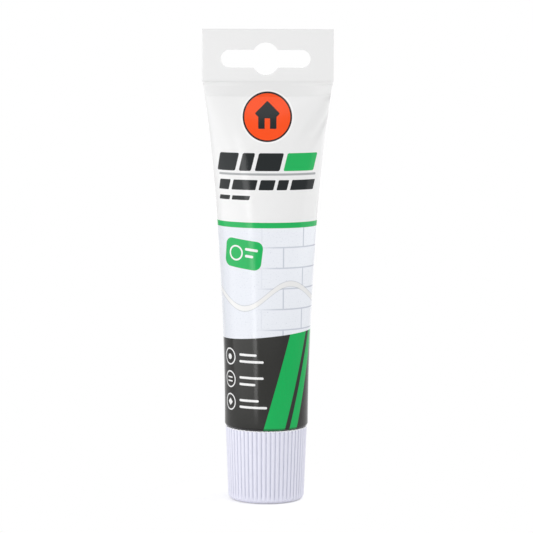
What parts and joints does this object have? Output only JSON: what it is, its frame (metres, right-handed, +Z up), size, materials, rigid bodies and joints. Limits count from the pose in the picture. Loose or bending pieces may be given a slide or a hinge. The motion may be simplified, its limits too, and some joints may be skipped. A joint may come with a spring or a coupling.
{
  "type": "caulk tube",
  "caption": "Squeeze tube of sealant: round sleeve pressed flat into a welded tab with a hang slot, threaded head with a spout, and a ribbed screw cap that it stands on.",
  "frame": {"origin": "middle of the cap's base, on the surface that the tube stands on", "axes": "+Z up along the tube, from the cap to the tab; X along the tab's width; -Y is the printed front"},
  "size_m": [0.055, 0.035, 0.1985],
  "materials": {
    "cap_plastic": "satin",
    "liner_foam": "matte",
    "head_plastic": "satin",
    "sleeve_plastic": "gloss",
    "white_paste": "satin"
  },
  "bodies": {
    "cap": {"screw_cap": "cap_plastic"},
    "liner": {"cap_liner": "liner_foam"},
    "tube": {"tube_head": "head_plastic", "tube_sleeve": "sleeve_plastic", "sealant_paste": "white_paste"}
  },
  "joints": [
    {"name": "cap_turn", "type": "hinge", "parent": "cap", "child": "liner", "pos_m": [0, 0, 0], "axis": [0, 0, 1], "range_deg": [0, 720]},
    {"name": "cap_lift", "type": "slide", "parent": "liner", "child": "tube", "axis": [0, 0, 1], "range_m": [0, 0.006]}
  ],
  "couplings": [
    {"joint": "cap_turn", "follows": "cap_lift", "rad_per_m": 2094.4}
  ]
}
